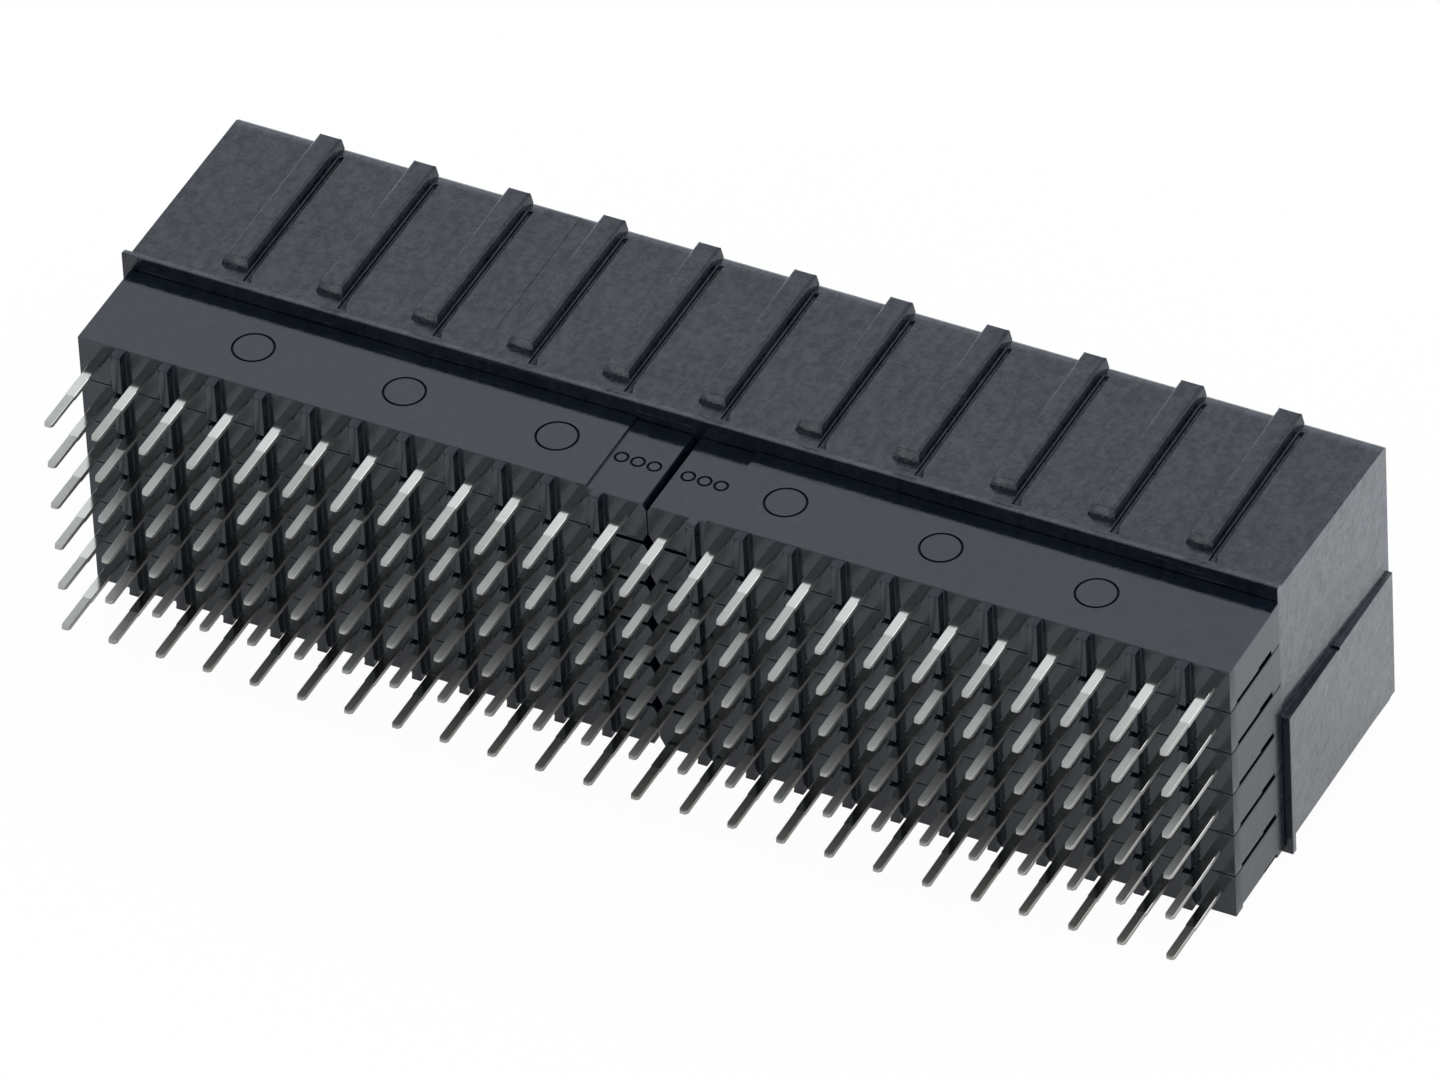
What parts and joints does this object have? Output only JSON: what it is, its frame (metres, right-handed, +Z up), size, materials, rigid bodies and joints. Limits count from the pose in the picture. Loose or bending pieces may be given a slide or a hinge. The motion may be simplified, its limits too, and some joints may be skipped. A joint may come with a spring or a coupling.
{
  "type": "board-to-board connector",
  "caption": "Straight receptacle of a 2 mm pitch board-to-board connector: a ribbed block housing with stacked wafers of board tails.",
  "frame": {"origin": "middle of the footprint on the surface that the connector lies on, with X = 0 in the middle of the contact grid", "axes": "+X along the rows of contacts, +Y out of the mating face (the board tails point to -Y), +Z up, out of the ribbed side"},
  "size_m": [0.0483, 0.0174, 0.0133],
  "materials": {
    "black_plastic": "semi-gloss moulded black engineering plastic",
    "tinned_metal": "bright tin over stamped copper alloy"
  },
  "bodies": {
    "root": {"housing": "black_plastic", "wafer_row_1_left": "black_plastic", "wafer_row_1_right": "black_plastic", "wafer_row_2_left": "black_plastic", "wafer_row_2_right": "black_plastic", "wafer_row_3_left": "black_plastic", "wafer_row_3_right": "black_plastic", "wafer_row_4_left": "black_plastic", "wafer_row_4_right": "black_plastic", "wafer_row_5_left": "black_plastic", "wafer_row_5_right": "black_plastic", "wafer_row_6_left": "black_plastic", "wafer_row_6_right": "black_plastic", "contact_row_1_01": "tinned_metal", "contact_row_1_02": "tinned_metal", "contact_row_1_03": "tinned_metal", "contact_row_1_04": "tinned_metal", "contact_row_1_05": "tinned_metal", "contact_row_1_06": "tinned_metal", "contact_row_1_07": "tinned_metal", "contact_row_1_08": "tinned_metal", "contact_row_1_09": "tinned_metal", "contact_row_1_10": "tinned_metal", "contact_row_1_11": "tinned_metal", "contact_row_1_12": "tinned_metal", "contact_row_1_13": "tinned_metal", "contact_row_1_14": "tinned_metal", "contact_row_1_15": "tinned_metal", "contact_row_1_16": "tinned_metal", "contact_row_1_17": "tinned_metal", "contact_row_1_18": "tinned_metal", "contact_row_1_19": "tinned_metal", "contact_row_1_20": "tinned_metal", "contact_row_1_21": "tinned_metal", "contact_row_1_22": "tinned_metal", "contact_row_1_23": "tinned_metal", "contact_row_1_24": "tinned_metal"}
  },
  "joints": []
}
